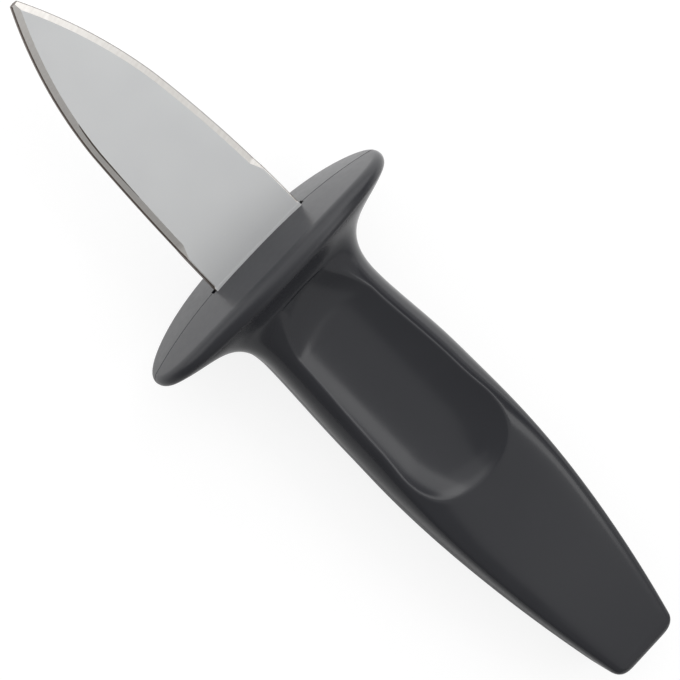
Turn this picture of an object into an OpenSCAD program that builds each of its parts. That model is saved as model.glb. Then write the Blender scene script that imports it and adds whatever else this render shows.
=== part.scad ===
// Oyster knife: a short spear blade with its tang moulded into a one-piece handle and guard.
// Lies flat: X runs from butt to tip, Y across the blade, Z through its thickness.
// Z = 0 is the parting plane of the handle mould; the origin is the middle of the box.

/* [Overall] */

// Length of blade in front of the guard
blade_l = 60; // [45:0.5:80]
// Length of handle from the front of the guard to the butt
handle_l = 105.8; // [90:0.5:125]

/* [Blade] */

// Thickness of the rolled blank, and of the tang
blank_t = 3; // [2.4:0.1:4]
// Depth ground off each side of the exposed blade
grind_d = 0.05; // [0.02:0.01:0.2]
// Width of blade and shoulders where they enter the guard
root_w = 21; // [16:0.1:23]
// Sideways shift of the blade's middle at the guard
root_y = -1.05; // [-2:0.05:2]
// Sideways shift of the tip
tip_y = -0.1; // [-2:0.1:2]
// Width of the blunt tip
tip_w = 1.5; // [0.6:0.1:2]
// Radius of the fuller edge from the guard to its turn
root_full_r = 250; // [200:5:500]
// Radius of the straighter edge from the guard to its turn
root_slim_r = 490; // [300:5:900]
// Distance from the guard to the turn of the fuller edge
turn_full_x = 34.5; // [26:0.5:38]
// Distance from the guard to the turn of the straighter edge
turn_slim_x = 32; // [26:0.5:36]
// Change of direction at the turns, in degrees
turn_break = 1.5; // [1:0.1:3]
// Width of the bevel along each edge
bevel_w = 1.25; // [0.6:0.05:2]
// Thickness left at each edge
edge_t = 1; // [0.6:0.1:1.6]
// Plain length before the bevel of the fuller edge
plain_full_l = 8.3; // [5:0.1:12]
// Plain length before the bevel of the straighter edge
plain_slim_l = 6.7; // [5:0.1:12]
// Length in which a bevel runs out
runout_l = 3.2; // [1:0.1:5]
// Size of the broken corners between bevels and guard
break_w = 0.3; // [0.1:0.05:0.5]

/* [Tang] */

// Depth of the full-width shoulders inside the guard
shoulder_l = 6; // [4:0.5:9]
// Width of the tang
tang_w = 13; // [10:0.5:14]
// Length of the tang behind the shoulders
tang_l = 68; // [40:1:76]
// Diameter of the holes that the plastic flows through
key_hole_d = 6; // [4:0.5:7]
// Distance from the shoulders to the first hole
key_first = 12; // [8:0.5:20]
// Distance between holes
key_pitch = 22; // [14:0.5:26]

/* [Guard] */

// Width of the guard
guard_w = 56; // [46:0.2:64]
// Depth of the guard through the blade's thickness
guard_d = 30; // [24:0.2:36]
// Squareness of the guard's oval, 2 is an ellipse
guard_n = 2.12; // [2:0.02:3]
// Set-back of the domed front at the side tips
dome_w = 3; // [1:0.1:5]
// Set-back of the domed front at the near and far rims
dome_d = 0.8; // [0.4:0.1:3]
// Radius of the rim at the guard's side tips
rim_r = 1.3; // [0.8:0.05:2]
// Front radius of the guard's crest, in the middle of each face
crest_r = 2.5; // [1.5:0.1:4]
// Back radius of the crest
crest_back_r = 1.5; // [0.8:0.1:3]
// Angle at which the back leaves the rim
rim_turn = 161; // [140:1:175]
// Angle at which the back leaves the crest
crest_turn = 153; // [130:1:165]
// Reach of the rim's slope into the back
rim_lead = 6; // [3:0.1:8]
// Reach of the crest's slope into the back
crest_lead = 4; // [2:0.1:6]
// Reach of the neck's line into the back below the rim
rim_tail = 11.5; // [8:0.1:14]
// Reach of the neck's line into the back below the crest
crest_tail = 9.5; // [6:0.1:13]
// Length from the front of the guard to the end of the back
neck_x = 17.5; // [15:0.5:20]

/* [Grip] */

// Width of the neck
neck_w = 25.1; // [22:0.1:28]
// Thickness of the neck
neck_t = 18.4; // [15:0.1:22]
// Width of the belly
belly_w = 27.3; // [24:0.1:32]
// Thickness of the belly
belly_t = 19.6; // [16:0.1:24]
// Distance from the front of the guard to the belly
belly_x = 45.5; // [35:0.5:55]
// Width of the butt before its corners are rounded
butt_w = 14.1; // [11:0.1:18]
// Thickness of the butt before its corners are rounded
butt_t = 13.6; // [11:0.1:17]
// Radius of the butt's corners
butt_r = 2.7; // [2:0.1:4]
// Sideways shift of the neck's middle
neck_y = -0.35; // [-1.5:0.05:1.5]
// Sideways shift of the belly's middle
belly_y = -0.8; // [-1.5:0.1:1.5]
// Sideways shift of the butt's middle
butt_y = -0.2; // [-1.5:0.1:1.5]
// Squareness of the section at the neck
neck_n = 3; // [2:0.1:5]
// Squareness of the section at the butt
butt_n = 4.6; // [2:0.1:6]

/* [Finger hollow] */

// Distance from the front of the guard to the near end of the hollow
hollow_x = 7.1; // [6:0.1:12]
// Length of the hollow
hollow_l = 50.4; // [40:0.1:54]
// Length of the hollow's ramp, which runs on up the guard's back
hollow_ramp = 8; // [6:0.1:12]
// Width of the hollow at the height of the grip's crown
hollow_w = 26.5; // [20:0.5:28]
// Sideways shift of the hollow's middle
hollow_y = -0.4; // [-1.5:0.1:1.5]
// Depth of the hollow
hollow_d = 2.8; // [1:0.1:3.5]
// Width over which its lip is softened
lip_soft = 0.4; // [0.1:0.05:1]

/* [Mould] */

// Reach of the shut-off relief beyond each edge of the blade
relief_w = 0.7; // [0.3:0.1:1.5]
// Thickness of the shut-off relief
relief_t = 1.6; // [0.8:0.1:2.4]
// Depth of the shut-off relief in the guard's face
relief_d = 1.2; // [0.5:0.1:2]

/* [Hidden] */

steel = [0.76, 0.77, 0.78];
black_plastic = [0.12, 0.12, 0.13];

// Where the blade leaves the front of the guard
front_x = (handle_l - blade_l) / 2;
// How far cuts reach past what they cut, so that faces never coincide
over = 1;
// Points round a section and stations along the parts of the loft
around = 72;
dome_steps = 7;
rim_steps = 6;
back_steps = 18;
grip_steps = [8, 18, 10];
butt_steps = 5;
// Powers in the grip's shape: how late it tapers to the butt in width, in thickness and
// sideways, how late it turns square, and how late it swells behind the neck
taper_w_pow = 1.95;
taper_t_pow = 1.8;
taper_y_pow = 2;
square_pow = 1.5;
swell_pow = 1.4;
// Powers of the rise from the hollow's floor to its lip, and of the dome towards the side tips
bowl_pow = 3;
dome_pow = 2.5;

// Blade

// Each edge is two arcs: a flat one from the guard to the turn, and a rounder one to the tip.
// Sides are fuller (-1) and straighter (+1), and half-widths are from the tip's line
function side_h(side) = root_w / 2 + side * (root_y - tip_y);
function root_r(side) = side < 0 ? root_full_r : root_slim_r;
function turn_x(side) = side < 0 ? turn_full_x : turn_slim_x;
function plain_l(side) = side < 0 ? plain_full_l : plain_slim_l;
function lean(side, x) = asin(x / root_r(side));
function edge_h(side, x) = side_h(side) - root_r(side) * (1 - cos(lean(side, x)));
function turn_h(side) = edge_h(side, turn_x(side));
function turn_angle(side) = lean(side, turn_x(side)) + turn_break;
// Reach and fall from the turn to the tip, along and across the rounder arc's direction there
function reach(side) =
  let (l = blade_l - turn_x(side), e = turn_h(side) - tip_w / 2)
  l * cos(turn_angle(side)) + e * sin(turn_angle(side));
function fall(side) =
  let (l = blade_l - turn_x(side), e = turn_h(side) - tip_w / 2)
  e * cos(turn_angle(side)) - l * sin(turn_angle(side));
function tip_r(side) = (pow(reach(side), 2) + pow(fall(side), 2)) / (2 * fall(side));

flat_t = blank_t - 2 * grind_d;
// Bare blank left between the guard and the ground flats
bare_x = 0.3;

// Everything of the blade is drawn with the tip's line as X and the front of the guard at 0,
// and each side is drawn as the +Y side and mirrored
module on_side(side) {
  mirror([0, side < 0 ? 1 : 0, 0])
    children();
}

// Length for which both arcs' cuts run on past the turn
turn_over = 3;

// Places its children at the turn of an edge, with X along the rounder arc there
module at_turn(side) {
  translate([turn_x(side), turn_h(side), 0])
    rotate([0, 0, -turn_angle(side)])
      children();
}

// What lies outside a disc that touches X at 0 from below, from one X to another
module outside_disc(r, from, to, down, up) {
  difference() {
    translate([from, -down, -blank_t])
      cube([to - from, down + up, 2 * blank_t]);
    translate([0, -r, -blank_t - over])
      cylinder(h = 2 * blank_t + 2 * over, r = r, $fn = 720);
  }
}

module edge_waste(side) {
  h = side_h(side);
  translate([0, h, 0])
    outside_disc(root_r(side), -shoulder_l - over, blade_l + over, h, 2 * over);
  at_turn(side)
    outside_disc(tip_r(side), -turn_over, reach(side) + over, fall(side), h);
}

// Sweeps a profile round the middle of the flatter arc between two distances from the guard.
// The profile's first axis points out from the arc's middle, and its second axis up
module along_root(side, from, to) {
  translate([0, side_h(side) - root_r(side), 0])
    rotate([0, 0, 90 - lean(side, to)])
      rotate_extrude(angle = lean(side, to) - lean(side, from), $fn = 720)
        children();
}

slope = (flat_t - edge_t) / 2 / bevel_w;

module bevel_profile(r) {
  polygon([
    [r - bevel_w - over / slope, flat_t / 2 + over],
    [r + over, edge_t / 2 - over * slope],
    [r + over, flat_t / 2 + over]
  ]);
}

// Run-out: below a plane that climbs out of the edge towards the guard, the metal stays.
// The plane holds the bevel's section at the origin and the blank's corner runout_l behind it
module below_runout() {
  h = (flat_t - edge_t) / 2;
  n = [h * bevel_w, h * runout_l, bevel_w * runout_l];
  s = 3 * runout_l;
  translate([0, 0, edge_t / 2])
    rotate([0, acos(n[2] / norm(n)), atan2(n[1], n[0])])
      translate([-s, -s, -s])
        cube([2 * s, 2 * s, s]);
}

module bevel_cut(side) {
  r = tip_r(side);
  tip_angle = asin((reach(side) + over) / r);
  over_angle = asin(turn_over / r);
  bevel_x = plain_l(side) + runout_l;
  difference() {
    along_root(side, plain_l(side) - over, turn_x(side) + turn_over)
      bevel_profile(root_r(side));
    translate([bevel_x, edge_h(side, bevel_x), 0])
      rotate([0, 0, -lean(side, bevel_x)])
        below_runout();
  }
  at_turn(side)
    translate([0, -r, 0])
      rotate([0, 0, 90 - tip_angle])
        rotate_extrude(angle = tip_angle + over_angle, $fn = 360)
          bevel_profile(r);
}

// The plain stretch is short and nearly straight, so its corners are broken along one line
module corner_break(side) {
  mid = (bare_x + plain_l(side)) / 2;
  from = 2 * bare_x - mid;
  to = plain_l(side) + runout_l / 2 - mid;
  translate([mid, edge_h(side, mid) - break_w, flat_t / 2])
    rotate([0, 0, -lean(side, mid)])
      rotate([-45, 0, 0])
        translate([from, -over, 0])
          cube([to - from, 2 * over + break_w, over]);
}

module blank() {
  // Exposed blade with full-width shoulders inside the guard
  difference() {
    translate([-shoulder_l, -side_h(-1) - over, -blank_t / 2])
      cube([shoulder_l + blade_l, root_w + 2 * over, blank_t]);
    for (side = [-1, 1])
      on_side(side)
        edge_waste(side);
    // Flats ground thinner than the blank up to the front of the guard
    for (face = [0, 1])
      mirror([0, 0, face])
        translate([bare_x, -root_w, flat_t / 2])
          cube([blade_l + over, 2 * root_w, blank_t]);
    for (side = [-1, 1], face = [0, 1])
      on_side(side)
        mirror([0, 0, face])
          bevel_cut(side);
    for (side = [-1, 1], face = [0, 1])
      on_side(side)
        mirror([0, 0, face])
          corner_break(side);
  }
}

module tang() {
  tang_end = shoulder_l + tang_l;
  translate([0, root_y - tip_y, 0])
    difference() {
      union() {
        translate([tang_w / 2 - tang_end, -tang_w / 2, -blank_t / 2])
          cube([tang_end - tang_w / 2 - shoulder_l + over, tang_w, blank_t]);
        translate([tang_w / 2 - tang_end, 0, -blank_t / 2])
          cylinder(h = blank_t, d = tang_w, $fn = 96);
      }
      for (i = [0 : 2])
        translate([-shoulder_l - key_first - i * key_pitch, 0, -blank_t])
          cylinder(h = 2 * blank_t, d = key_hole_d, $fn = 64);
    }
}

module blade_solid() {
  translate([front_x, tip_y, 0])
    union() {
      blank();
      tang();
    }
}

module blade() {
  color(steel)
    blade_solid();
}

// Handle

function mix(a, b, t) = a + (b - a) * t;
function ease(t) = t * t * (3 - 2 * t);
function late(t) = ease(pow(t, swell_pow));
function bezier(p, t) =
  pow(1 - t, 3) * p[0] + 3 * pow(1 - t, 2) * t * p[1] + 3 * (1 - t) * t * t * p[2] + pow(t, 3) * p[3];

// A section's point at angle q: half-sizes a and b, squareness n
function oval(a, b, n, q) =
  let (k = pow(pow(abs(cos(q)), n) + pow(abs(sin(q)), n), -1 / n))
  [a * cos(q) * k, b * sin(q) * k];

// Grip's half-width, half-thickness and squareness at distance d from the guard's front
function behind(d) = max(0, d - belly_x) / (handle_l - belly_x);
function ahead(d) = max(0, belly_x - d) / (belly_x - neck_x);
function grip_a(d) =
  belly_w / 2 - (belly_w - butt_w) / 2 * pow(behind(d), taper_w_pow)
  - (belly_w - neck_w) / 2 * late(ahead(d));
function grip_b(d) =
  belly_t / 2 - (belly_t - butt_t) / 2 * pow(behind(d), taper_t_pow)
  - (belly_t - neck_t) / 2 * late(ahead(d));
function grip_y(d) =
  belly_y + (neck_y - belly_y) * late(ahead(d)) + (butt_y - belly_y) * pow(behind(d), taper_y_pow);
function grip_n(d) =
  mix(neck_n, butt_n, pow(max(0, d - neck_x) / (handle_l - neck_x), square_pow));

// Height of the hollow's bowl above the parting plane, an oblong with round ends in plan.
// The end by the guard has its own length
hollow_r = hollow_w / 2;
function bowl(x, y) =
  let (
    ramp = (hollow_x + hollow_ramp + x) / hollow_ramp,
    end = (-x - (hollow_x + hollow_l - hollow_r)) / hollow_r,
    u = max(0, ramp, end),
    v = (y - hollow_y) / hollow_r
  )
  belly_t / 2 - hollow_d + hollow_d * pow(u * u + v * v, bowl_pow / 2);
function soft_min(a, b, w) =
  let (h = max(0, w - abs(a - b)) / w)
  min(a, b) - h * h * w / 4;
function hollowed(p) =
  let (s = sign(p[2]), z = abs(p[2]))
  z < 1 ? p : [p[0], p[1], s * soft_min(z, bowl(p[0], p[1]), 2 * lip_soft)];

// The front's slope where the rim or the crest takes over, and the half-sizes there
rim_lean = atan(dome_pow * dome_w / (guard_w / 2));
crest_lean = atan(2 * dome_d / (guard_d / 2));
rim_a = guard_w / 2 - rim_r * (1 - sin(rim_lean));
rim_b = guard_d / 2 - crest_r * (1 - sin(crest_lean));
function dome(p) =
  dome_w * pow(abs(p[0]) / rim_a, dome_pow) + dome_d * pow(abs(p[1]) / rim_b, 2);
function angles() = [for (j = [0 : around - 1]) j * 360 / around];
// Share of the crest in the guard's profile at angle q, 0 at the side tips
function crest(q) =
  let (s = pow(abs(sin(q)), guard_n), c = pow(abs(cos(q)), guard_n))
  s / (s + c);
// A roll at an angle: how far inside its top it is, and how far behind its start
function roll_r(front, back, at) = at > 90 ? back : front;
function roll_in(front, back, at) = roll_r(front, back, at) * (1 - sin(at));
function roll_on(front, back, from, at) = front * cos(from) - roll_r(front, back, at) * cos(at);

// Rings of the loft, from the front of the guard to the butt
function dome_ring(i) =
  let (s = (i + 0.5) / (dome_steps + 0.5))
  [for (q = angles())
    let (p = oval(s * rim_a, s * rim_b, guard_n, q))
    [-dome(p), p[0], p[1]]];
function rim_ring(i) =
  let (
    ta = mix(rim_lean, rim_turn, i / rim_steps),
    tb = mix(crest_lean, crest_turn, i / rim_steps),
    a = guard_w / 2 - roll_in(rim_r, rim_r, ta),
    b = guard_d / 2 - roll_in(crest_r, crest_back_r, tb),
    rim_on = roll_on(rim_r, rim_r, rim_lean, ta),
    crest_on = roll_on(crest_r, crest_back_r, crest_lean, tb)
  )
  [for (q = angles())
    let (
      start = dome(oval(rim_a, rim_b, guard_n, q)),
      o = oval(a, b, guard_n, q)
    )
    [-start - mix(rim_on, crest_on, crest(q)), o[0], o[1]]];
function back_ring(i) =
  let (
    t = i / back_steps,
    a0 = guard_w / 2 - roll_in(rim_r, rim_r, rim_turn),
    b0 = guard_d / 2 - roll_in(crest_r, crest_back_r, crest_turn),
    a = bezier([a0, a0 + rim_lead * cos(rim_turn), neck_w / 2, neck_w / 2], t),
    b = bezier([b0, b0 + crest_lead * cos(crest_turn), neck_t / 2, neck_t / 2], t),
    f = (a - neck_w / 2) / (a0 - neck_w / 2),
    rim_on = roll_on(rim_r, rim_r, rim_lean, rim_turn),
    crest_on = roll_on(crest_r, crest_back_r, crest_lean, crest_turn)
  )
  [for (q = angles())
    let (
      start = dome(oval(rim_a, rim_b, guard_n, q)) + mix(rim_on, crest_on, crest(q)),
      lead = mix(rim_lead * sin(rim_turn), crest_lead * sin(crest_turn), crest(q)),
      tail = mix(rim_tail, crest_tail, crest(q)),
      x = bezier([start, start + lead, neck_x - tail, neck_x], t),
      o = oval(a, b, mix(neck_n, guard_n, f), q)
    )
    [-x, o[0] + neck_y * (1 - f), o[1]]];
function grip_ring(d) =
  [for (q = angles())
    let (p = oval(grip_a(d), grip_b(d), grip_n(d), q))
    [-d, p[0] + grip_y(d), p[1]]];
function butt_ring(i) =
  let (
    t = 90 * i / butt_steps,
    g = butt_r * (1 - cos(t)),
    d = handle_l - butt_r + butt_r * sin(t)
  )
  [for (q = angles())
    let (p = oval(grip_a(d) - g, grip_b(d) - g, grip_n(d), q))
    [-d, p[0] + grip_y(d), p[1]]];

hollow_end = hollow_x + hollow_l;
// Stations lie closer together from here before the hollow's far end to here behind it
close_before = 11;
close_behind = 1.5;
grip_spans = [neck_x, hollow_end - close_before, hollow_end + close_behind, handle_l - butt_r];
// The skin runs on past the butt, which is then cut to one flat face
butt_over = 0.5;
rings = concat(
  [for (i = [0 : dome_steps - 1]) dome_ring(i)],
  [for (i = [0 : rim_steps]) rim_ring(i)],
  [for (i = [1 : back_steps]) back_ring(i)],
  [for (k = [0 : 2], i = [1 : grip_steps[k]])
    grip_ring(mix(grip_spans[k], grip_spans[k + 1], i / grip_steps[k]))],
  [for (i = [1 : butt_steps - 1]) butt_ring(i)],
  [[for (p = butt_ring(butt_steps)) p - [butt_over, 0, 0]]]
);
count = len(rings);

module grip_skin() {
  points = concat(
    [for (ring = rings, p = ring) hollowed(p)],
    [[0, 0, 0], [-handle_l - butt_over, butt_y, 0]]
  );
  faces = concat(
    [for (j = [0 : around - 1]) [count * around, (j + 1) % around, j]],
    [for (i = [0 : count - 2], j = [0 : around - 1], half = [0, 1])
      let (
        a = i * around + j,
        b = i * around + (j + 1) % around,
        c = a + around,
        d = b + around
      )
      half == 0 ? [a, b, d] : [a, d, c]],
    [for (j = [0 : around - 1])
      [count * around + 1, (count - 1) * around + j, (count - 1) * around + (j + 1) % around]]
  );
  polyhedron(points = points, faces = faces, convexity = 6);
}

module relief() {
  translate([front_x - relief_d, root_y - root_w / 2 - relief_w, -relief_t / 2])
    cube([relief_d + over, root_w + 2 * relief_w, relief_t]);
}

module handle() {
  color(black_plastic)
    difference() {
      translate([front_x, 0, 0])
        grip_skin();
      blade_solid();
      relief();
      translate([front_x - handle_l - over, -belly_w, -belly_w])
        cube([over, 2 * belly_w, 2 * belly_w]);
    }
}

blade();
handle();
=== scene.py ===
import bmesh
import bpy
import math
import numpy as np
from mathutils import Matrix, Vector


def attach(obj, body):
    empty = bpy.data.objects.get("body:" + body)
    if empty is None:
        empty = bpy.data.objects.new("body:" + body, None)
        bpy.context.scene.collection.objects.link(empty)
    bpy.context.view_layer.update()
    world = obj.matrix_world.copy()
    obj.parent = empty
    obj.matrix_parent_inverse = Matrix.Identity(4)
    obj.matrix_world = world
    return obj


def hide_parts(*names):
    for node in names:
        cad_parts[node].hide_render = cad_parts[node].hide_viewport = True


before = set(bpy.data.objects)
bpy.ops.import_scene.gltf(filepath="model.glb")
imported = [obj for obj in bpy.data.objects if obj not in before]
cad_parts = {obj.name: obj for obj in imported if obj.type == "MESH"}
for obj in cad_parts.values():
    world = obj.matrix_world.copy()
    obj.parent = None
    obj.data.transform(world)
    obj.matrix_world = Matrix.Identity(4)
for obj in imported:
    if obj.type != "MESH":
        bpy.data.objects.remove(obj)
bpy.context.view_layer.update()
scene = bpy.context.scene
scene.view_settings.view_transform = "Standard"
millimetre = 0.001


# sRGB hex to the linear colour that Blender works in
def linear(hexColour):
    parts = [int(hexColour[i:i + 2], 16) / 255 for i in (1, 3, 5)]
    return tuple(c / 12.92 if c <= 0.04045 else ((c + 0.055) / 1.055) ** 2.4 for c in parts) + (1.0,)


# A node with its settings; an input's value is either a constant or the socket that feeds it
def addNode(tree, kind, inputs=None, **settings):
    node = tree.nodes.new(kind)
    for name, value in settings.items():
        setattr(node, name, value)
    for name, value in (inputs or {}).items():
        if isinstance(value, bpy.types.NodeSocket):
            tree.links.new(value, node.inputs[name])
        else:
            node.inputs[name].default_value = value
    return node


def newMaterial(name):
    material = bpy.data.materials.new(name)
    material.use_nodes = True
    material.node_tree.nodes.clear()
    return material, material.node_tree


# A piece from points in mm; finishes gives the material index of each face
def meshObject(name, points, faces, finishes=None):
    mesh = bpy.data.meshes.new(name)
    mesh.from_pydata([tuple(p) for p in np.asarray(points) * millimetre], [], faces)
    for polygon, finish in zip(mesh.polygons, finishes or []):
        polygon.material_index = finish
    mesh.validate()
    mesh.update()
    piece = bpy.data.objects.new(name, mesh)
    scene.collection.objects.link(piece)
    return piece


# Quads between rings of points that follow each other along a piece
def skinRings(ringCount, ringSize):
    faces = []
    for i in range(ringCount - 1):
        here, there = i * ringSize, (i + 1) * ringSize
        for j in range(ringSize):
            k = (j + 1) % ringSize
            faces.append((here + j, here + k, there + k, there + j))
    return faces


# The modifiers' result becomes the piece's own mesh
def applyModifiers(piece):
    graph = bpy.context.evaluated_depsgraph_get()
    mesh = bpy.data.meshes.new_from_object(piece.evaluated_get(graph))
    piece.modifiers.clear()
    piece.data = mesh


# Takes the cutter's shape out of the piece, and the cutter out of the scene
def cutAway(piece, cutter):
    cut = piece.modifiers.new("cut", "BOOLEAN")
    cut.object = cutter
    cut.operation = "DIFFERENCE"
    applyModifiers(piece)
    bpy.data.objects.remove(cutter)


def mix(a, b, t):
    return a + (b - a) * t


def clamped(t):
    return min(1.0, max(0.0, t))


def eased(t):
    return t * t * (3 - 2 * t)


def bezier(a, b, c, d, t):
    return (1 - t) ** 3 * a + 3 * (1 - t) ** 2 * t * b + 3 * (1 - t) * t * t * c + t ** 3 * d


# Camera: looks at the middle of the knife, tilted towards the tip and sideways, sizes in mm
cameraSettings = {
    "aim": (-0.19, -0.08, 0.0),
    "distance": 600.0,
    "towardsTip": 19.1235,
    "towardsSide": 7.0081,
    "turn": 134.188,
    "lens": 180.9, "sensorWide": 36.0, "nearest": 10.0,
}


def makeCamera(settings):
    back = Vector((math.tan(math.radians(settings["towardsTip"])),
                   math.tan(math.radians(settings["towardsSide"])), 1)).normalized()
    across = Vector((1, 0, 0))
    across = (across - across.dot(back) * back).normalized()
    along = back.cross(across)
    turn = math.radians(settings["turn"])
    right = math.cos(turn) * across - math.sin(turn) * along
    up = math.sin(turn) * across + math.cos(turn) * along
    matrix = Matrix((right, up, back)).transposed().to_4x4()
    matrix.translation = (Vector(settings["aim"]) + settings["distance"] * back) * millimetre
    data = bpy.data.cameras.new("camera")
    data.lens = settings["lens"]
    data.sensor_width = settings["sensorWide"]
    data.clip_start = settings["nearest"] * millimetre
    camera = bpy.data.objects.new("camera", data)
    scene.collection.objects.link(camera)
    camera.matrix_world = matrix
    scene.camera = camera


makeCamera(cameraSettings)
print("camera placed")

# Handle: one moulding, lofted in rings from the front of the guard to the butt, sizes in mm.
# "Square" values are superellipse powers, 2 for an oval and more for a squarer section
handle = {
    "frontX": 22.9, "length": 105.8,
    "guardWide": 56.0, "guardDeep": 30.0, "guardSquare": 2.12,
    "domeWide": 3.0, "domePower": 2.5, "draftDeep": 0.8, "draftPower": 1.4,
    "rimRadius": 1.3, "crestRadius": 2.5, "crestBack": 1.5,
    "rimTurn": 161.0, "crestTurn": 137.0,
    "rimLead": 6.0, "crestLead": 3.2, "rimTail": 11.5, "crestTail": 9.5,
    "neckX": 17.5, "neckWide": 25.1, "neckThick": 18.4, "neckY": -0.35, "neckSquare": 3.2, "neckPower": 1.4,
    "bellyX": 45.5, "bellyWide": 27.3, "bellyThick": 19.6, "bellyY": -0.8,
    "buttWide": 14.1, "buttThick": 13.6, "buttY": -0.2, "buttSquare": 9.5, "buttRadius": 2.7,
    "widePower": 1.95, "thickPower": 1.8, "squareFrom": 0.25, "squareOver": 0.35,
    "hollowX": 8.8, "hollowLong": 48.7, "hollowWide": 25.7, "hollowY": -0.4, "hollowDeep": 2.8,
    "rampLong": 9.2, "rampPower": 2 / 3, "rampEnd": 1.08, "rampSteep": 2.0, "bowlPower": 3,
    "lipSoft": 0.17, "lipLowest": 1.0,
    "reliefWide": 0.7, "reliefThick": 1.6, "reliefDeep": 1.2,
    "partingWide": 0.16, "partingDeep": 0.12, "partingFirst": 6,
    "rings": {"dome": 44, "rim": 20, "back": 90, "grip": 200, "butt": 14},
}


# Angles round a ring, worked out in degrees: close together beside the parting plane so that its
# line can be cut there, and even over the rest
def ringAngles():
    beside = [0.0, 0.12, 0.25, 0.4, 0.6, 0.9, 1.35]
    quarter = beside + list(np.linspace(2.0, 88.0, 62)) + [90.0]
    half = quarter + [180 - a for a in reversed(quarter[:-1])]
    return np.radians(half + [360 - a for a in reversed(half[1:-1])])


def oval(a, b, square, angles):
    k = (np.abs(np.cos(angles)) ** square + np.abs(np.sin(angles)) ** square) ** (-1 / square)
    return a * np.cos(angles) * k, b * np.sin(angles) * k


# Half-widths, middle and squareness of the grip at d behind the front of the guard
def gripSection(h, d):
    behind = np.maximum(0, d - h["bellyX"]) / (h["length"] - h["bellyX"])
    ahead = np.maximum(0, h["bellyX"] - d) / (h["bellyX"] - h["neckX"])
    late = eased(ahead ** h["neckPower"])
    a = (h["bellyWide"] - (h["bellyWide"] - h["buttWide"]) * behind ** h["widePower"]
         - (h["bellyWide"] - h["neckWide"]) * late) / 2
    b = (h["bellyThick"] - (h["bellyThick"] - h["buttThick"]) * behind ** h["thickPower"]
         - (h["bellyThick"] - h["neckThick"]) * late) / 2
    middle = h["bellyY"] + (h["neckY"] - h["bellyY"]) * late + (h["buttY"] - h["bellyY"]) * behind ** 2
    run = max(0, d - h["neckX"]) / (h["length"] - h["neckX"])
    flatter = clamped((run - h["squareFrom"]) / h["squareOver"])  # behind the hollow the top is nearly flat
    return a, b, middle, mix(h["neckSquare"] + run, h["buttSquare"], eased(flatter))


# The finger hollow: an oblong bowl on each face with a soft lip, open towards the guard, whose
# back it climbs in a ramp
def hollowed(h, points):
    x, y, z = points[:, 0], points[:, 1], np.abs(points[:, 2])
    radius = h["hollowWide"] / 2
    rise = np.maximum(0, (h["hollowX"] + h["rampLong"] + x) / h["rampLong"])
    ramp = rise ** h["rampPower"] + h["rampSteep"] * np.maximum(0, rise - h["rampEnd"])
    end = (-x - (h["hollowX"] + h["hollowLong"] - radius)) / radius
    r = np.hypot(np.maximum(ramp, end), (y - h["hollowY"]) / radius)
    bowl = h["bellyThick"] / 2 - h["hollowDeep"] + h["hollowDeep"] * r ** h["bowlPower"]
    w = 2 * h["lipSoft"]
    blend = np.maximum(0, w - np.abs(z - bowl)) / w
    sunk = np.minimum(z, bowl) - blend * blend * w / 4
    points[:, 2] = np.where(z < h["lipLowest"], points[:, 2], np.sign(points[:, 2]) * sunk)
    return points


# A ring of the loft at x behind the front of the guard
def ring(x, y, z):
    return np.column_stack([-x, y, z])


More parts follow.
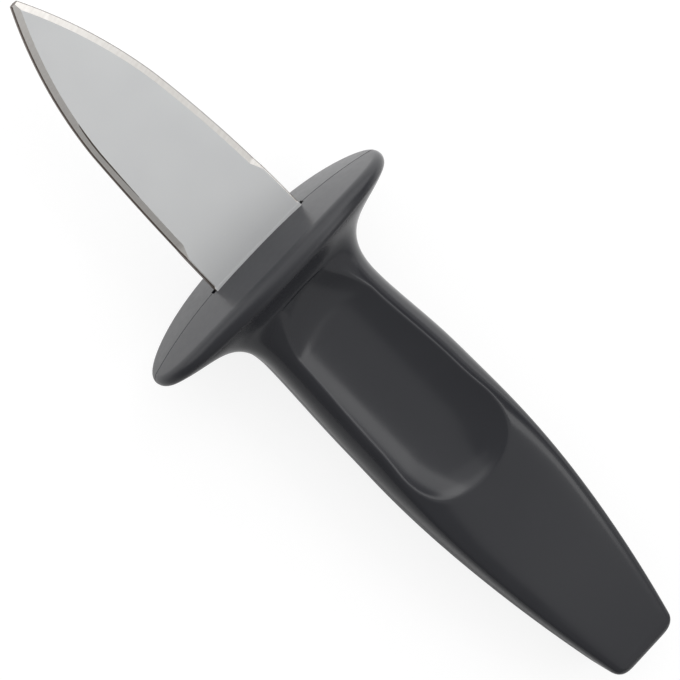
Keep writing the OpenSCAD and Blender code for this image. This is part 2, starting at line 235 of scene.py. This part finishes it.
# The guard's front is nearly flat, its rim is tight at the two side tips and becomes a broad
# crest on each face, and its back sweeps into the neck; "crest" goes from 0 at a side tip to 1
# on a face
def handleRings(h):
    angles = ringAngles()
    square = h["guardSquare"]
    rimLean = math.atan(h["domePower"] * h["domeWide"] / (h["guardWide"] / 2))
    crestLean = math.atan(h["draftPower"] * h["draftDeep"] / (h["guardDeep"] / 2))
    rimTurn, crestTurn = math.radians(h["rimTurn"]), math.radians(h["crestTurn"])
    rimA = h["guardWide"] / 2 - h["rimRadius"] * (1 - math.sin(rimLean))
    rimB = h["guardDeep"] / 2 - h["crestRadius"] * (1 - math.sin(crestLean))
    crest = np.abs(np.sin(angles)) ** square
    crest = crest / (crest + np.abs(np.cos(angles)) ** square)

    def dome(y, z):
        return (h["domeWide"] * (np.abs(y) / rimA) ** h["domePower"]
                + h["draftDeep"] * (np.abs(z) / rimB) ** h["draftPower"])

    rimY, rimZ = oval(rimA, rimB, square, angles)
    rings = []
    for s in np.linspace(0.02, 1, h["rings"]["dome"], endpoint=False):
        y, z = s * rimY, s * rimZ
        rings.append(ring(dome(y, z), y, z))
    for s in np.linspace(0, 1, h["rings"]["rim"]):
        rimAngle, crestAngle = mix(rimLean, rimTurn, s), mix(crestLean, crestTurn, s)
        halfA = rimA + h["rimRadius"] * (math.sin(rimAngle) - math.sin(rimLean))
        behind = h["crestBack"] if crestAngle > math.pi / 2 else h["crestRadius"]
        halfB = h["guardDeep"] / 2 - behind * (1 - math.sin(crestAngle))
        y, z = oval(halfA, halfB, square, angles)
        rimX = h["rimRadius"] * (math.cos(rimLean) - math.cos(rimAngle))
        crestX = h["crestRadius"] * math.cos(crestLean) - behind * math.cos(crestAngle)
        start = dome(rimY, rimZ) + mix(rimX, crestX, crest)
        rings.append(ring(start, y, z))
    neckA, neckB = h["neckWide"] / 2, h["neckThick"] / 2
    leadX = mix(h["rimLead"] * math.sin(rimTurn), h["crestLead"] * math.sin(crestTurn), crest)
    tailX = h["neckX"] - mix(h["rimTail"], h["crestTail"], crest)
    for t in np.linspace(0, 1, h["rings"]["back"])[1:]:
        a = bezier(halfA, halfA + h["rimLead"] * math.cos(rimTurn), neckA, neckA, t)
        b = bezier(halfB, halfB + h["crestLead"] * math.cos(crestTurn), neckB, neckB, t)
        x = bezier(start, start + leadX, tailX, h["neckX"], t)
        f = (a - neckA) / (halfA - neckA)
        y, z = oval(a, b, mix(h["neckSquare"], square, f), angles)
        rings.append(ring(x, y + h["neckY"] * (1 - f), z))
    for d in np.linspace(h["neckX"], h["length"] - h["buttRadius"], h["rings"]["grip"])[1:]:
        a, b, middle, square = gripSection(h, d)
        y, z = oval(a, b, square, angles)
        rings.append(ring(np.full_like(y, d), y + middle, z))
    for t in np.linspace(0, math.pi / 2, h["rings"]["butt"])[1:]:
        d = h["length"] - h["buttRadius"] * (1 - math.sin(t))
        a, b, middle, square = gripSection(h, d)
        inset = h["buttRadius"] * (1 - math.cos(t))
        y, z = oval(a - inset, b - inset, square, angles)
        rings.append(ring(np.full_like(y, d), y + middle, z))
    return [hollowed(h, points) for points in rings]


# The line that the two halves of the mould leave: a fine groove at Z = 0 all round, except on
# the first rings, which lie behind the blade
def cutPartingLine(h, rings):
    grid = np.array(rings)
    along = np.gradient(grid, axis=0)
    around = np.roll(grid, -1, axis=1) - np.roll(grid, 1, axis=1)
    normal = np.cross(along, around)
    normal /= np.linalg.norm(normal, axis=2, keepdims=True) + 1e-12  # never a division by zero
    outward = grid - np.array([-h["length"] / 2, 0, 0])
    if np.sum(normal * outward) < 0:
        normal = -normal
    depth = h["partingDeep"] * np.maximum(0, 1 - np.abs(grid[:, :, 2]) / h["partingWide"])
    depth[:h["partingFirst"]] = 0
    return grid - normal * depth[:, :, None]


def makeHandle(h):
    grid = cutPartingLine(h, handleRings(h))
    count, around = grid.shape[:2]
    points = list(grid.reshape(-1, 3))
    points += [np.array([0, 0, 0]), np.array([-h["length"], h["buttY"], 0])]
    faces = skinRings(count, around)
    frontMiddle, buttMiddle, last = count * around, count * around + 1, (count - 1) * around
    for j in range(around):
        k = (j + 1) % around
        faces.append((frontMiddle, k, j))
        faces.append((buttMiddle, last + j, last + k))
    points = np.array(points) + np.array([h["frontX"], 0, 0])
    piece = meshObject("handleMoulding", points, faces)
    piece.data.shade_smooth()
    return piece


handlePiece = makeHandle(handle)
print("handle lofted:", len(handlePiece.data.vertices), "points")

# Blade: one ground blank, sizes in mm, X along the blade from the front of the guard; a value
# in braces is given for the -Y edge and the +Y one, and "Least" and "Most" values are shares of
# the bevel's width
blade = {
    "frontX": handle["frontX"], "tipY": -0.1, "length": 60.0,
    "blankThick": 3.0, "flatThick": 2.9, "edgeThick": 1.0,
    "rootWide": 21.0, "rootY": -1.05, "tipWide": 1.5,
    "rootRadius": {-1: 250.0, 1: 490.0},
    "turnX": {-1: 34.5, 1: 32.0}, "turnBreak": 1.5, "turnLead": 3.0,
    "bevelWide": 1.25, "plainLong": {-1: 8.3, 1: 6.7}, "runOut": 3.2, "ridgeShare": 0.92,
    "cornerBreak": 0.3, "rootBreak": 0.05, "bareX": 0.3,
    "shoulderLong": 6.0, "tangWide": 13.0, "tangLong": 68.0,
    "keyHole": 6.0, "keyFirst": 12.0, "keyPitch": 22.0, "keyCount": 3,
    "edgeRounding": 0.05, "roundedFrom": 12.0,
    # the paintedLine values place a thin line of painted dark reflection inside the +Y bevel
    "paintedLineFrom": 21.0, "paintedLineTo": 38.0, "paintedLineWide": 0.48, "paintedLineSeen": 0.01,
    "paintedLineLeast": 0.02, "paintedLineMost": 0.45,
    # the rims along the edges carry painted shade
    "rimWide": {-1: 0.1, 1: 0.24}, "rimMost": 0.5,
    "sectionPitch": 0.5,
}
glazed, ground, paintedShade = 0, 1, 2  # material indices of the blade's finishes


# The two circles of an edge: middle and radius, flatter one first
def edgeCircles(b, side):
    half = b["rootWide"] / 2 + side * (b["rootY"] - b["tipY"])
    radius = b["rootRadius"][side]
    turnX = b["turnX"][side]
    lean = math.asin(turnX / radius)
    turnH = half - radius * (1 - math.cos(lean))
    angle = lean + math.radians(b["turnBreak"])
    run, drop = b["length"] - turnX, turnH - b["tipWide"] / 2
    reach = run * math.cos(angle) + drop * math.sin(angle)
    fall = drop * math.cos(angle) - run * math.sin(angle)
    tipRadius = (reach ** 2 + fall ** 2) / (2 * fall)
    return ((0.0, half - radius, radius),
            (turnX - tipRadius * math.sin(angle), turnH - tipRadius * math.cos(angle), tipRadius))


# Half-width at X of the edge, or of the line that lies "inset" inside it
def edgeLine(b, side, x, inset=0.0):
    circles = edgeCircles(b, side)
    if x < b["turnX"][side] - b["turnLead"]:
        circles = circles[:1]
    return min(middleY + math.sqrt((radius - inset) ** 2 - (x - middleX) ** 2)
               for middleX, middleY, radius in circles)


# One side of the section at X: (edge half-width, height there, half-width where the flat ends)
def sideSection(b, side, x):
    flat, edge = b["flatThick"] / 2, b["edgeThick"] / 2
    half = edgeLine(b, side, max(x, 0))
    t = clamped((x - b["plainLong"][side]) / b["runOut"])
    if t >= 1:
        return half, edge, edgeLine(b, side, x, b["bevelWide"])
    broken = b["cornerBreak"] if x > 2 * b["bareX"] else b["rootBreak"]
    drop = max(broken, (flat - edge) * t)
    return half, flat - drop, half - max(broken, b["bevelWide"] * t)


# Width at X of a painted dark reflection: a thin dark line painted inside the +Y bevel
def paintedLineWidth(b, x):
    t = (b["paintedLineTo"] - x) / (b["paintedLineTo"] - b["paintedLineFrom"])
    return b["paintedLineWide"] * t ** 0.35 * (1 - t) ** 0.8 if 0 < t < 1 else 0.0


# Upper half of the blade's section at X, from the -Y edge to the +Y one
def bladeSection(b, x):
    low, high = sideSection(b, -1, x), sideSection(b, 1, x)
    flat = b["flatThick"] / 2
    top = b["blankThick"] / 2 if x <= b["bareX"] else flat
    lift = top - flat
    inLow, inHigh, crown = -low[2], high[2], top
    if inLow > inHigh:  # near the tip the two bevels meet in a ridge
        slope = (b["flatThick"] - b["edgeThick"]) / 2 / b["bevelWide"]
        crown = b["edgeThick"] / 2 + slope * (high[0] + low[0]) / 2 * b["ridgeShare"]
        inLow = inHigh = (high[0] - low[0]) / 2
    lowEdge, highEdge = (-low[0], low[1] + lift), (high[0], high[1] + lift)
    lowWide, highWide = inLow + low[0], high[0] - inHigh

    def onBevel(y, edge, t):
        return mix(y, edge[0], t), mix(crown, edge[1], t)

    lowRim = 1 - min(b["rimMost"], b["rimWide"][-1] / lowWide)
    highRim = 1 - min(b["rimMost"], b["rimWide"][1] / highWide)
    # the strip up to this share of the +Y bevel carries the painted dark reflection where it is wide enough
    paintedLineShare = min(b["paintedLineMost"], b["paintedLineLeast"] + paintedLineWidth(b, x) / highWide)
    return [lowEdge, onBevel(inLow, lowEdge, lowRim), (inLow, crown), ((inLow + inHigh) / 2, crown),
            (inHigh, crown), onBevel(inHigh, highEdge, paintedLineShare), onBevel(inHigh, highEdge, highRim), highEdge]


# Finish of a strip round the section: 0 to 6 cross the upper face from the -Y edge, 7 is the
# +Y side, 8 to 14 come back underneath and 15 is the -Y side
def stripFinish(strip, bevelled, paintedLineHere):
    above = strip if strip <= 7 else 14 - strip
    # the sides, the rims at the edges and strip 4 under the painted dark line take the steel with painted
    # shade
    if above in (-1, 7) or bevelled and above in (0, 6) or paintedLineHere and strip == 4:
        return paintedShade
    return ground if bevelled and above in (1, 4, 5) else glazed


def makeBlade(b):
    half, back = b["tangWide"] / 2, -b["shoulderLong"] - b["tangLong"]
    outline = []
    for turn in np.radians(np.linspace(4, 90, 16)):  # the tang's round end
        outline.append((back + half * (1 - math.cos(turn)), half * math.sin(turn)))
    outline.append((-b["shoulderLong"], half))
    ringSize = 16  # 8 points over the upper face and 8 back underneath
    sections = [(x, [(y, b["blankThick"] / 2) for y in np.linspace(-w, w, ringSize // 2)])
                for x, w in outline]
    hair = 0.02  # a second section this far past a corner keeps it crisp
    stations = [-b["shoulderLong"], -hair, 0.0, b["bareX"], b["bareX"] + hair, 2 * b["bareX"] + hair]
    stations += list(np.arange(1.0, b["length"], b["sectionPitch"])) + [b["length"]]
    sections += [(x, bladeSection(b, x)) for x in stations]
    points = []
    for x, upper in sections:
        points += [(x, y, z) for y, z in upper] + [(x, y, -z) for y, z in reversed(upper)]
    faces = skinRings(len(sections), ringSize)
    # faces under the painted dark reflection take the steel with painted shade
    finishes = [stripFinish(strip, x > b["bareX"], paintedLineWidth(b, x) > b["paintedLineSeen"])
                for x, upper in sections[:-1] for strip in range(ringSize)]
    last = (len(sections) - 1) * ringSize
    faces += [tuple(range(ringSize)), tuple(last + j for j in reversed(range(ringSize)))]
    points = np.array(points) + np.array([b["frontX"], b["tipY"], 0])
    return meshObject("bladeGround", points, faces, finishes + [paintedShade, paintedShade])


# Coincident points merged, normals turned outwards and every sharp edge rounded a little
def finishBlade(piece, b):
    coincident = 0.0001 * millimetre
    mesh = bmesh.new()
    mesh.from_mesh(piece.data)
    bmesh.ops.remove_doubles(mesh, verts=mesh.verts, dist=coincident)
    bmesh.ops.dissolve_degenerate(mesh, edges=mesh.edges, dist=coincident)
    bmesh.ops.recalc_face_normals(mesh, faces=mesh.faces)
    mesh.to_mesh(piece.data)
    mesh.free()
    rounding = piece.modifiers.new("rounding", "BEVEL")
    rounding.width = b["edgeRounding"] * millimetre
    rounding.segments = 2
    rounding.limit_method = "ANGLE"
    rounding.angle_limit = math.radians(b["roundedFrom"])
    rounding.harden_normals = True
    piece.data.shade_smooth()
    applyModifiers(piece)


# The holes in the tang that the plastic flows through
def cutKeyHoles(piece, b):
    sides, radius = 48, b["keyHole"] / 2
    turns = np.linspace(0, 2 * math.pi, sides, endpoint=False)
    points, faces = [], []
    for i in range(b["keyCount"]):
        middle = b["frontX"] - b["shoulderLong"] - b["keyFirst"] - i * b["keyPitch"]
        low, high = len(points), len(points) + sides
        for z in (-b["blankThick"], b["blankThick"]):
            points += [(middle + radius * math.cos(t), b["tipY"] + radius * math.sin(t), z) for t in turns]
        faces += [(low + j, low + (j + 1) % sides, high + (j + 1) % sides, high + j) for j in range(sides)]
        faces += [tuple(low + j for j in reversed(range(sides))), tuple(high + j for j in range(sides))]
    cutAway(piece, meshObject("keyHoleCutter", points, faces))


bladePiece = makeBlade(blade)
print("blade built:", len(bladePiece.data.vertices), "points")


# The notches beside the blade, where the mould closes on the steel
def cutRelief(piece, h, b):
    front, halfWide, halfThick = h["frontX"], b["rootWide"] / 2 + h["reliefWide"], h["reliefThick"] / 2
    corners = [(x, y, z) for x in (front - h["reliefDeep"], front + 1)
               for y in (b["rootY"] - halfWide, b["rootY"] + halfWide) for z in (-halfThick, halfThick)]
    cutAway(piece, meshObject("reliefCutter", corners, [
        (0, 1, 3, 2), (4, 6, 7, 5), (0, 4, 5, 1), (2, 3, 7, 6), (0, 2, 6, 4), (1, 5, 7, 3)]))


cutRelief(handlePiece, handle, blade)
print("relief cut:", len(handlePiece.data.vertices), "points")


# Glazed stainless steel, rolled, ground and glazed on a fine belt: an even soft grey sheen
# with hair-fine lines across the blade that only show close to
def glazedStainless():
    material, tree = newMaterial("glazedStainless")
    place = addNode(tree, "ShaderNodeTexCoord")
    stretch = addNode(tree, "ShaderNodeMapping", {
        "Vector": place.outputs["Object"], "Scale": (1.0, 0.03, 0.03)})
    lines = addNode(tree, "ShaderNodeTexNoise", {
        "Vector": stretch.outputs["Vector"],
        "Scale": 1000 / 0.12, "Detail": 3.0})  # 0.12 mm between lines; real ones are near 0.02 mm
    clouds = addNode(tree, "ShaderNodeTexNoise", {
        "Vector": place.outputs["Object"], "Scale": 1000 / 14, "Detail": 2.0})  # 14 mm patches
    roughness = addNode(tree, "ShaderNodeMapRange", {
        "Value": clouds.outputs["Fac"], "From Min": 0.3, "From Max": 0.7, "To Min": 0.52, "To Max": 0.58})
    relief = addNode(tree, "ShaderNodeBump", {
        "Height": lines.outputs["Fac"], "Strength": 0.25, "Distance": 0.002 * millimetre})
    tint = addNode(tree, "ShaderNodeMix", {
        "Factor": clouds.outputs["Fac"], "A": linear("#DBDCDC"), "B": linear("#D6D7D8")}, data_type="RGBA")
    along = addNode(tree, "ShaderNodeCombineXYZ", {"X": 1.0})  # the lines spread the light along X
    surface = addNode(tree, "ShaderNodeBsdfPrincipled", {
        "Base Color": tint.outputs["Result"], "Metallic": 1.0, "Anisotropic": 0.8,
        "Tangent": along.outputs["Vector"],
        "Roughness": roughness.outputs["Result"], "Normal": relief.outputs["Normal"]})
    addNode(tree, "ShaderNodeOutputMaterial", {"Surface": surface.outputs["BSDF"]})
    return material


# The same steel on the bevels, ground on a coarser wheel and left so: brighter and duller
# patches with short marks across the bevel
def groundStainless():
    material, tree = newMaterial("groundStainless")
    place = addNode(tree, "ShaderNodeTexCoord")
    stretch = addNode(tree, "ShaderNodeMapping", {
        "Vector": place.outputs["Object"], "Scale": (1.0, 0.12, 0.12)})
    marks = addNode(tree, "ShaderNodeTexNoise", {
        "Vector": stretch.outputs["Vector"], "Scale": 1000 / 0.5, "Detail": 4.0})  # 0.5 mm between marks
    roughness = addNode(tree, "ShaderNodeMapRange", {
        "Value": marks.outputs["Fac"], "From Min": 0.3, "From Max": 0.7, "To Min": 0.38, "To Max": 0.5})
    relief = addNode(tree, "ShaderNodeBump", {
        "Height": marks.outputs["Fac"], "Strength": 0.35, "Distance": 0.01 * millimetre})
    tint = addNode(tree, "ShaderNodeMix", {
        "Factor": marks.outputs["Fac"], "A": linear("#E3E1DE"), "B": linear("#CCC8C3")}, data_type="RGBA")
    surface = addNode(tree, "ShaderNodeBsdfPrincipled", {
        "Base Color": tint.outputs["Result"], "Metallic": 1.0,
        "Roughness": roughness.outputs["Result"], "Normal": relief.outputs["Normal"]})
    addNode(tree, "ShaderNodeOutputMaterial", {"Surface": surface.outputs["BSDF"]})
    return material


# The blank's sides as the press left them, torn and dull, in a dark brown that is painted shade: they draw
# the blade's outline, and the same painted shade lies on the rims at the edges and on the painted dark line
# in the +Y bevel
def paintedShadeSteel():
    material, tree = newMaterial("paintedShadeSteel")
    place = addNode(tree, "ShaderNodeTexCoord")
    grain = addNode(tree, "ShaderNodeTexNoise", {
        "Vector": place.outputs["Object"], "Scale": 1000 / 0.4, "Detail": 4.0})  # 0.4 mm tears
    relief = addNode(tree, "ShaderNodeBump", {
        "Height": grain.outputs["Fac"], "Strength": 0.5, "Distance": 0.02 * millimetre})
    # painted shade: a dark brown that stands in for the shade on the sides and edges
    tint = addNode(tree, "ShaderNodeMix", {
        "Factor": grain.outputs["Fac"], "A": linear("#776D66"), "B": linear("#433C37")}, data_type="RGBA")
    surface = addNode(tree, "ShaderNodeBsdfPrincipled", {
        "Base Color": tint.outputs["Result"], "Metallic": 0.8, "Roughness": 0.55,
        "Normal": relief.outputs["Normal"]})
    addNode(tree, "ShaderNodeOutputMaterial", {"Surface": surface.outputs["BSDF"]})
    return material


# Polypropylene, injection moulded in a polished tool: near black, glossy, with the very
# slight unevenness of a thick moulding in its reflections; the guard's front is duller and mottled
def mouldedPolypropylene():
    material, tree = newMaterial("mouldedPolypropylene")
    place = addNode(tree, "ShaderNodeTexCoord")
    skin = addNode(tree, "ShaderNodeTexNoise", {
        "Vector": place.outputs["Object"], "Scale": 1000 / 1.4, "Detail": 2.0})  # 1.4 mm swells
    clouds = addNode(tree, "ShaderNodeTexNoise", {
        "Vector": place.outputs["Object"], "Scale": 1000 / 9, "Detail": 3.0})  # 9 mm patches
    roughness = addNode(tree, "ShaderNodeMapRange", {
        "Value": clouds.outputs["Fac"], "From Min": 0.3, "From Max": 0.7, "To Min": 0.17, "To Max": 0.21})
    parts = addNode(tree, "ShaderNodeSeparateXYZ", {"Vector": place.outputs["Object"]})
    # 0 on the grip and 1 on the front of the guard, which stands at X 22.9 mm
    guard = addNode(tree, "ShaderNodeMapRange", {
        "Value": parts.outputs["X"], "From Min": 15 * millimetre, "From Max": 20 * millimetre, "To Max": 1.0})
    mottle = addNode(tree, "ShaderNodeTexNoise", {
        "Vector": place.outputs["Object"], "Scale": 1000 / 1.2, "Detail": 3.0})  # 1.2 mm patches
    dull = addNode(tree, "ShaderNodeMapRange", {
        "Value": mottle.outputs["Fac"], "From Min": 0.3, "From Max": 0.7, "To Min": 0.3, "To Max": 0.34})
    worn = addNode(tree, "ShaderNodeMix", {
        "Factor": guard.outputs["Result"], "A": roughness.outputs["Result"], "B": dull.outputs["Result"]})
    relief = addNode(tree, "ShaderNodeBump", {
        "Height": skin.outputs["Fac"], "Strength": 0.3, "Distance": 0.01 * millimetre})
    tint = addNode(tree, "ShaderNodeMix", {
        "Factor": clouds.outputs["Fac"], "A": linear("#1E1F24"), "B": linear("#232429")}, data_type="RGBA")
    surface = addNode(tree, "ShaderNodeBsdfPrincipled", {
        "Base Color": tint.outputs["Result"], "IOR": 1.5,
        "Roughness": worn.outputs["Result"], "Normal": relief.outputs["Normal"]})
    addNode(tree, "ShaderNodeOutputMaterial", {"Surface": surface.outputs["BSDF"]})
    return material


handlePiece.data.materials.append(mouldedPolypropylene())
for finish in (glazedStainless(), groundStainless(), paintedShadeSteel()):
    bladePiece.data.materials.append(finish)
print("materials made")

# After the materials, because a mesh without them drops its faces' indices when it is rounded
finishBlade(bladePiece, blade)
cutKeyHoles(bladePiece, blade)
print("blade finished:", len(bladePiece.data.vertices), "points")

for piece, node, slotName in ((handlePiece, "handle", "black_plastic"), (bladePiece, "blade", "steel")):
    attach(piece, "root")
    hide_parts(node)

# Studio: a pale floor under the knife, a soft sky and softboxes round it. Each panel has its
# azimuth from +X to +Y, elevation, distance and size in metres, and radiance as seen in a mirror
studio = {
    "floorHalf": 6.0, "floorShade": "#CACACA",
    "floorFaint": "#7C7C7C", "floorWhite": 0.84,
    "mirrorGlow": 0.9, "glowAzimuth": -35.0, "glowFrom": -45.0, "glowTo": 55.0,
    "horizonLevel": 0.3, "skyLevel": 0.45, "horizonTop": 0.2, "skyFrom": 0.75,
    "panels": {
        "overhead": (-90, 75, 1.25, (1.8, 0.67), 0.36),
        "highSide": (-92, 56, 1.3, (1.8, 0.4), 1.5),
        "behind": (-152, 34, 1.3, (1.4, 1.2), 0.29),
        "lowSide": (-105, 8, 1.3, (1.5, 0.34), 0.45),
        "frontHigh": (-20, 46, 1.3, (1.9, 0.6), 0.9),
        "overBlade": (-25, 68, 1.3, (0.8, 0.4), 0.25),
        "frontLeft": (-46, 18, 1.3, (1.8, 0.8), 1.5),
        "frontRight": (28, 17, 1.3, (1.7, 0.76), 1.25),
    },
}


# The knife rests on the guard's rim and the butt's corner, so the floor leans a little: the
# point of the guard that touches, and the floor's fall from it towards +X
def restingPlane(piece):
    points = np.array([v.co for v in piece.data.vertices])
    front = points[points[:, 0] > 0]
    rear = points[points[:, 0] < -60 * millimetre]
    start = front[front[:, 2].argmin()]
    lean = 0.0
    for _ in range(20):  # rolls onto the points that touch first
        lean = ((rear[:, 2] - start[2]) / (start[0] - rear[:, 0])).min()
        start = front[(front[:, 2] + lean * front[:, 0]).argmin()]
    return start, lean


# The camera sees the floor as a faint matt sheet that is lit white from within, so shadows stay
# soft; gloss sees a matt floor with a painted pool of light, a glow that fades out on one side
def makeFloor(s):
    start, lean = restingPlane(handlePiece)
    half = s["floorHalf"]
    points = [(x, y, start[2] - lean * (x - start[0]))
              for x, y in ((-half, -half), (half, -half), (half, half), (-half, half))]
    floor = meshObject("floor", np.array(points) / millimetre, [(0, 1, 2, 3)])
    material, tree = newMaterial("paleFloor")
    path = addNode(tree, "ShaderNodeLightPath")
    mirrored = addNode(tree, "ShaderNodeMath", {
        0: path.outputs["Is Glossy Ray"], 1: path.outputs["Is Transmission Ray"]}, operation="MAXIMUM")
    matt = addNode(tree, "ShaderNodeBsdfDiffuse", {"Color": linear(s["floorShade"])})
    place = addNode(tree, "ShaderNodeTexCoord")
    turn = math.radians(s["glowAzimuth"])
    ahead = addNode(tree, "ShaderNodeVectorMath", {
        0: place.outputs["Object"], 1: (math.cos(turn), math.sin(turn), 0)}, operation="DOT_PRODUCT")
    # painted light: a pool of glow on the floor ahead of the knife, seen only in reflections
    paintedLightPool = addNode(tree, "ShaderNodeMapRange", {
        "Value": ahead.outputs["Value"], "From Min": s["glowFrom"] * millimetre,
        "From Max": s["glowTo"] * millimetre, "To Max": s["mirrorGlow"]}, interpolation_type="SMOOTHSTEP")
    glow = addNode(tree, "ShaderNodeEmission", {"Strength": paintedLightPool.outputs["Result"]})
    bright = addNode(tree, "ShaderNodeAddShader", {0: matt.outputs["BSDF"], 1: glow.outputs["Emission"]})
    inGloss = addNode(tree, "ShaderNodeMixShader", {
        "Fac": mirrored.outputs["Value"], 1: matt.outputs["BSDF"], 2: bright.outputs["Shader"]})
    faint = addNode(tree, "ShaderNodeBsdfDiffuse", {"Color": linear(s["floorFaint"])})
    white = addNode(tree, "ShaderNodeEmission", {"Strength": s["floorWhite"]})
    seen = addNode(tree, "ShaderNodeAddShader", {0: faint.outputs["BSDF"], 1: white.outputs["Emission"]})
    blend = addNode(tree, "ShaderNodeMixShader", {
        "Fac": path.outputs["Is Camera Ray"], 1: inGloss.outputs["Shader"], 2: seen.outputs["Shader"]})
    addNode(tree, "ShaderNodeOutputMaterial", {"Surface": blend.outputs["Shader"]})
    floor.data.materials.append(material)
    return lean


# A sky that brightens from the horizon up, white where the camera looks past the floor
def makeSky(s):
    world = bpy.data.worlds.new("studio")
    scene.world = world
    world.use_nodes = True
    tree = world.node_tree
    tree.nodes.clear()
    path = addNode(tree, "ShaderNodeLightPath")
    toward = addNode(tree, "ShaderNodeTexCoord")
    height = addNode(tree, "ShaderNodeSeparateXYZ", {"Vector": toward.outputs["Generated"]})
    level = addNode(tree, "ShaderNodeMapRange", {
        "Value": height.outputs["Z"], "From Min": s["horizonTop"], "From Max": s["skyFrom"],
        "To Min": s["horizonLevel"], "To Max": s["skyLevel"]}, interpolation_type="SMOOTHSTEP")
    sky = addNode(tree, "ShaderNodeBackground", {"Color": (1, 1, 1, 1), "Strength": level.outputs["Result"]})
    white = addNode(tree, "ShaderNodeBackground", {"Color": (1, 1, 1, 1), "Strength": 1.0})
    blend = addNode(tree, "ShaderNodeMixShader", {
        "Fac": path.outputs["Is Camera Ray"], 1: sky.outputs["Background"], 2: white.outputs["Background"]})
    addNode(tree, "ShaderNodeOutputWorld", {"Surface": blend.outputs["Shader"]})


# Softboxes that face the knife; a lamp's power is its radiance times pi times its area
def makePanels(s):
    for name, (azimuth, elevation, distance, size, radiance) in s["panels"].items():
        data = bpy.data.lights.new(name, "AREA")
        data.shape = "RECTANGLE"
        data.size, data.size_y = size
        data.energy = radiance * math.pi * data.size * data.size_y
        light = bpy.data.objects.new(name, data)
        scene.collection.objects.link(light)
        turn, rise = math.radians(azimuth), math.radians(elevation)
        light.location = distance * Vector((
            math.cos(rise) * math.cos(turn), math.cos(rise) * math.sin(turn), math.sin(rise)))
        light.rotation_euler = (-light.location).to_track_quat("-Z", "Y").to_euler()
        light.visible_camera = False


floorLean = makeFloor(studio)
makeSky(studio)
makePanels(studio)
print("studio lit; the floor leans by", round(math.degrees(math.atan(floorLean)), 2), "degrees")
